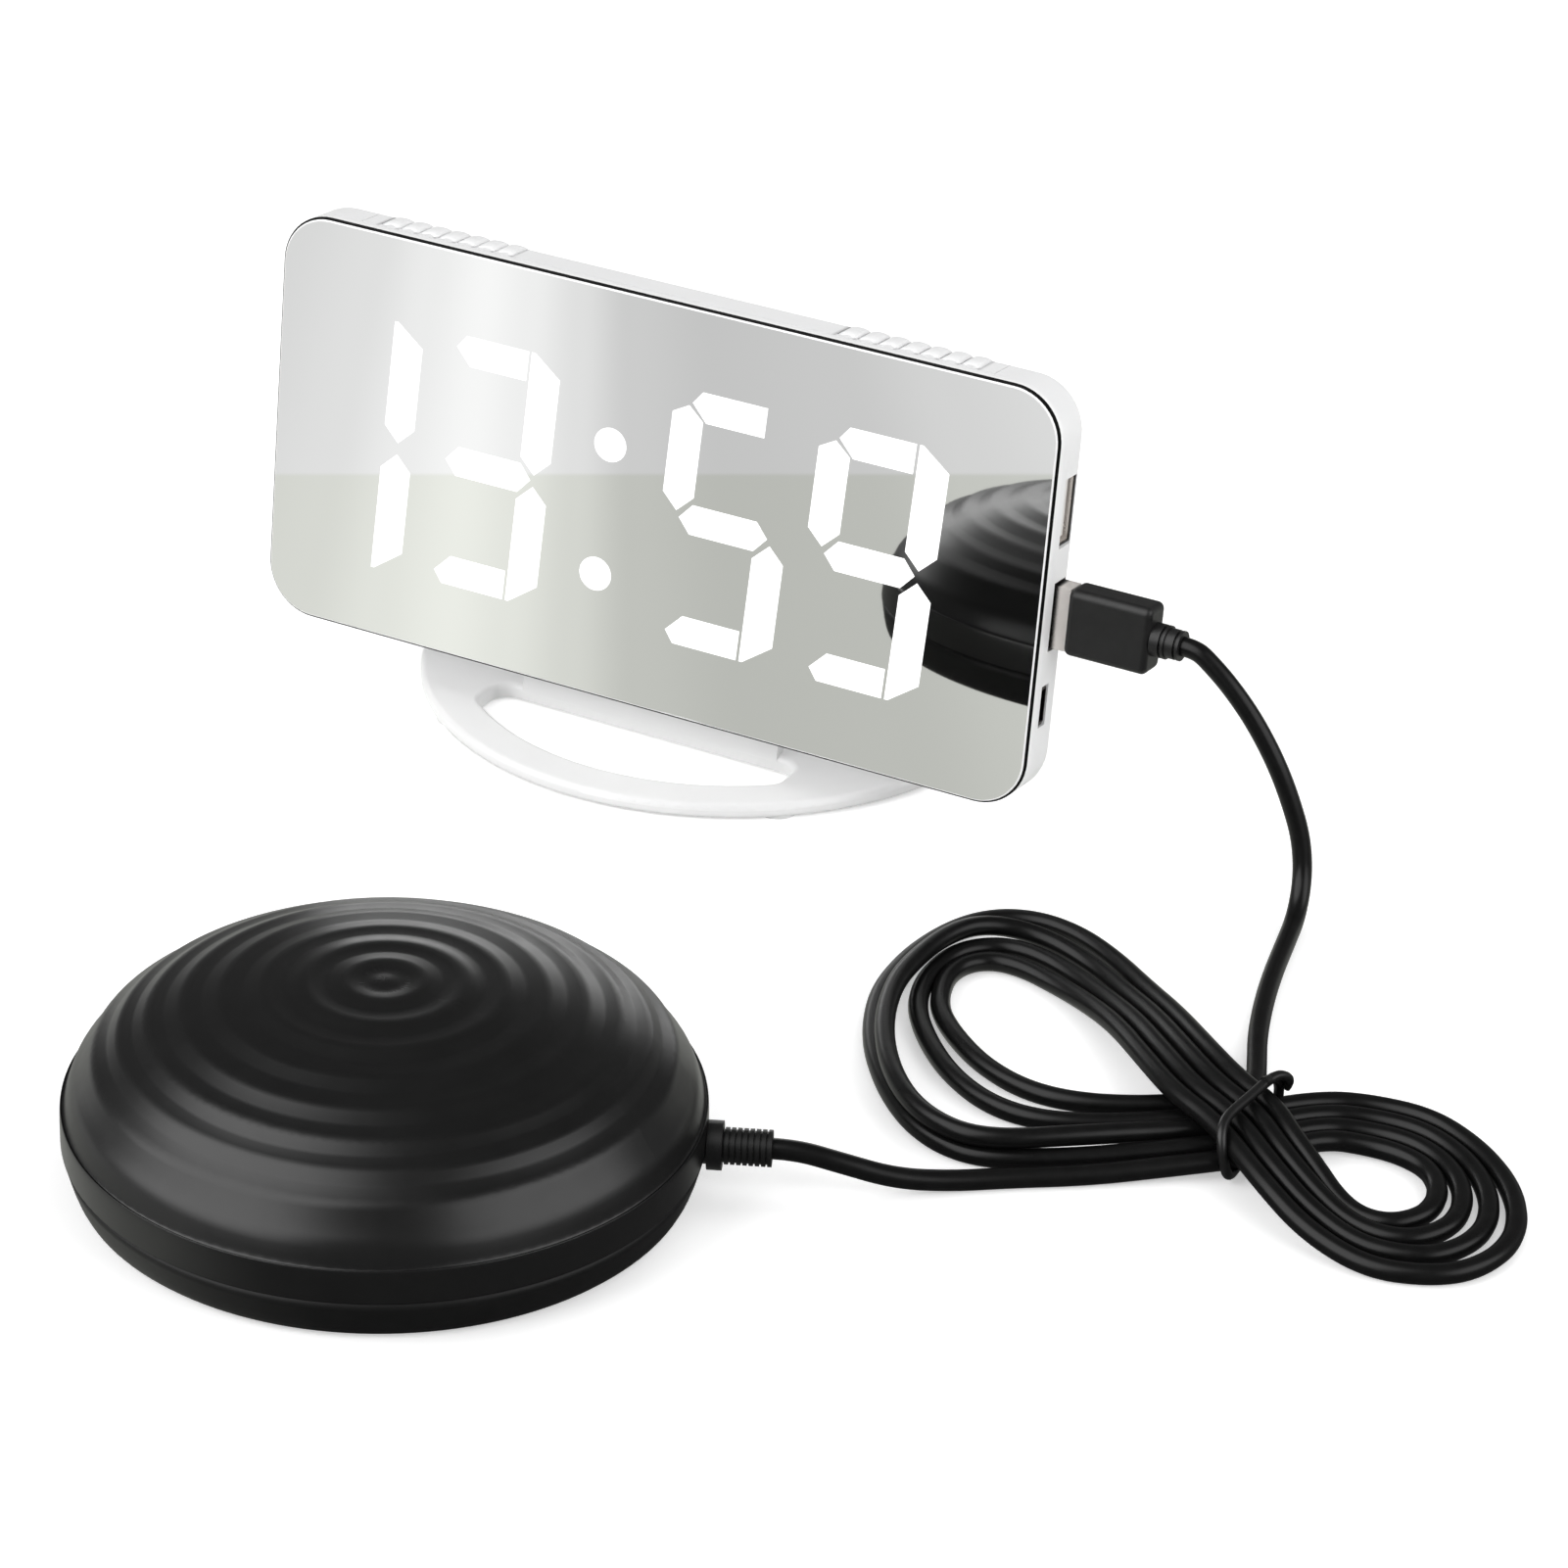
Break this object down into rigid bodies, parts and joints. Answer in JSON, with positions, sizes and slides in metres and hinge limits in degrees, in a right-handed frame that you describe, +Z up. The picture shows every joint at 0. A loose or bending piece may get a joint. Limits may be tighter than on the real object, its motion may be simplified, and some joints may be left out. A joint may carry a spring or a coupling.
{
  "type": "vibrating alarm clock",
  "caption": "Leaning mirror alarm clock on a flat ring stand, with a round rippled bed shaker on a bundled cord that plugs into its side.",
  "frame": {"origin": "on the table, on the face of the pad under the middle of the stand's web", "axes": "+X along the mirror to the side with the ports, +Y to the back, +Z up"},
  "size_m": [0.2958, 0.2972, 0.0901],
  "materials": {
    "white_plastic": "satin white moulding",
    "mirror": "half-silvered, warm grey",
    "film": "black film",
    "grid": "matt white",
    "lens": "translucent white",
    "board": "green circuit board",
    "led": "light chip",
    "switch": "black",
    "cell": "polished cell",
    "screw": "zinc",
    "port_metal": "nickel, warm",
    "insulator": "white insulator",
    "black_plastic": "satin black moulding",
    "cord": "satin black jacket",
    "pad": "dark rubber",
    "clear_pad": "pale rubber",
    "motor": "zinc-plated can",
    "weight": "sintered"
  },
  "bodies": {
    "stand": {"stand_base": "white_plastic", "stand_pads": "clear_pad"},
    "clock": {"mirror_panel": "mirror", "mask_film": "film", "light_box": "grid", "segment_lenses": "lens", "display_board": "board", "segment_leds": "led", "case_shell": "white_plastic", "snooze_switches": "switch", "button_switches": "switch", "buzzer": "switch", "coin_cell": "cell", "cell_contact": "screw", "case_screws": "screw", "port_board": "board", "usb_socket_top": "port_metal", "usb_tongue_top": "insulator", "usb_socket_low": "port_metal", "usb_tongue_low": "insulator", "power_socket": "port_metal", "power_tongue": "switch"},
    "snooze": {"snooze_bar": "white_plastic"},
    "door": {"battery_door": "white_plastic"},
    "time_button": {"button_time": "white_plastic"},
    "alarm_button": {"button_alarm": "white_plastic"},
    "up_button": {"button_up": "white_plastic"},
    "down_button": {"button_down": "white_plastic"},
    "level_button": {"button_level": "white_plastic"},
    "shaker": {"plug_shell": "port_metal", "plug_tongue": "insulator", "plug_grip": "black_plastic", "plug_lead": "cord", "cord_hank": "cord", "hank_tie": "black_plastic", "shaker_lead": "cord", "cord_boot": "black_plastic", "shaker_dome": "black_plastic", "shaker_base": "black_plastic", "shaker_pads": "pad", "shaker_screws": "screw", "motor_can": "motor", "motor_strap": "screw", "strap_screws": "screw"},
    "rotor": {"motor_shaft": "screw", "eccentric_weight": "weight"}
  },
  "joints": [
    {"name": "clock_lift", "type": "slide", "parent": "stand", "child": "clock", "axis": [0, 0.1106, 0.9939], "range_m": [0, 0.01]},
    {"name": "snooze_press", "type": "slide", "parent": "clock", "child": "snooze", "axis": [0, -0.1106, -0.9939], "range_m": [0, 0.0009], "stiffness_N_per_m": 900, "springref_m": -0.001},
    {"name": "door_turn", "type": "hinge", "parent": "clock", "child": "door", "pos_m": [-0.056, 0.00214, 0.03726], "axis": [0, -0.9939, 0.1106], "range_deg": [0, 45]},
    {"name": "plug_pull", "type": "slide", "parent": "clock", "child": "shaker", "axis": [1, 0, 0], "range_m": [0, 0.014]},
    {"name": "weight_spin", "type": "hinge", "parent": "shaker", "child": "rotor", "pos_m": [0.0393, -0.1606, 0.017], "axis": [1, 0, 0], "continuous": true},
    {"name": "time_press", "type": "slide", "parent": "clock", "child": "time_button", "axis": [0, -0.9939, 0.1106], "range_m": [0, 0.0005], "stiffness_N_per_m": 700, "springref_m": -0.0006},
    {"name": "alarm_press", "type": "slide", "parent": "clock", "child": "alarm_button", "axis": [0, -0.9939, 0.1106], "range_m": [0, 0.0005], "stiffness_N_per_m": 700, "springref_m": -0.0006},
    {"name": "up_press", "type": "slide", "parent": "clock", "child": "up_button", "axis": [0, -0.9939, 0.1106], "range_m": [0, 0.0005], "stiffness_N_per_m": 700, "springref_m": -0.0006},
    {"name": "down_press", "type": "slide", "parent": "clock", "child": "down_button", "axis": [0, -0.9939, 0.1106], "range_m": [0, 0.0005], "stiffness_N_per_m": 700, "springref_m": -0.0006},
    {"name": "level_press", "type": "slide", "parent": "clock", "child": "level_button", "axis": [0, -0.9939, 0.1106], "range_m": [0, 0.0005], "stiffness_N_per_m": 700, "springref_m": -0.0006}
  ]
}
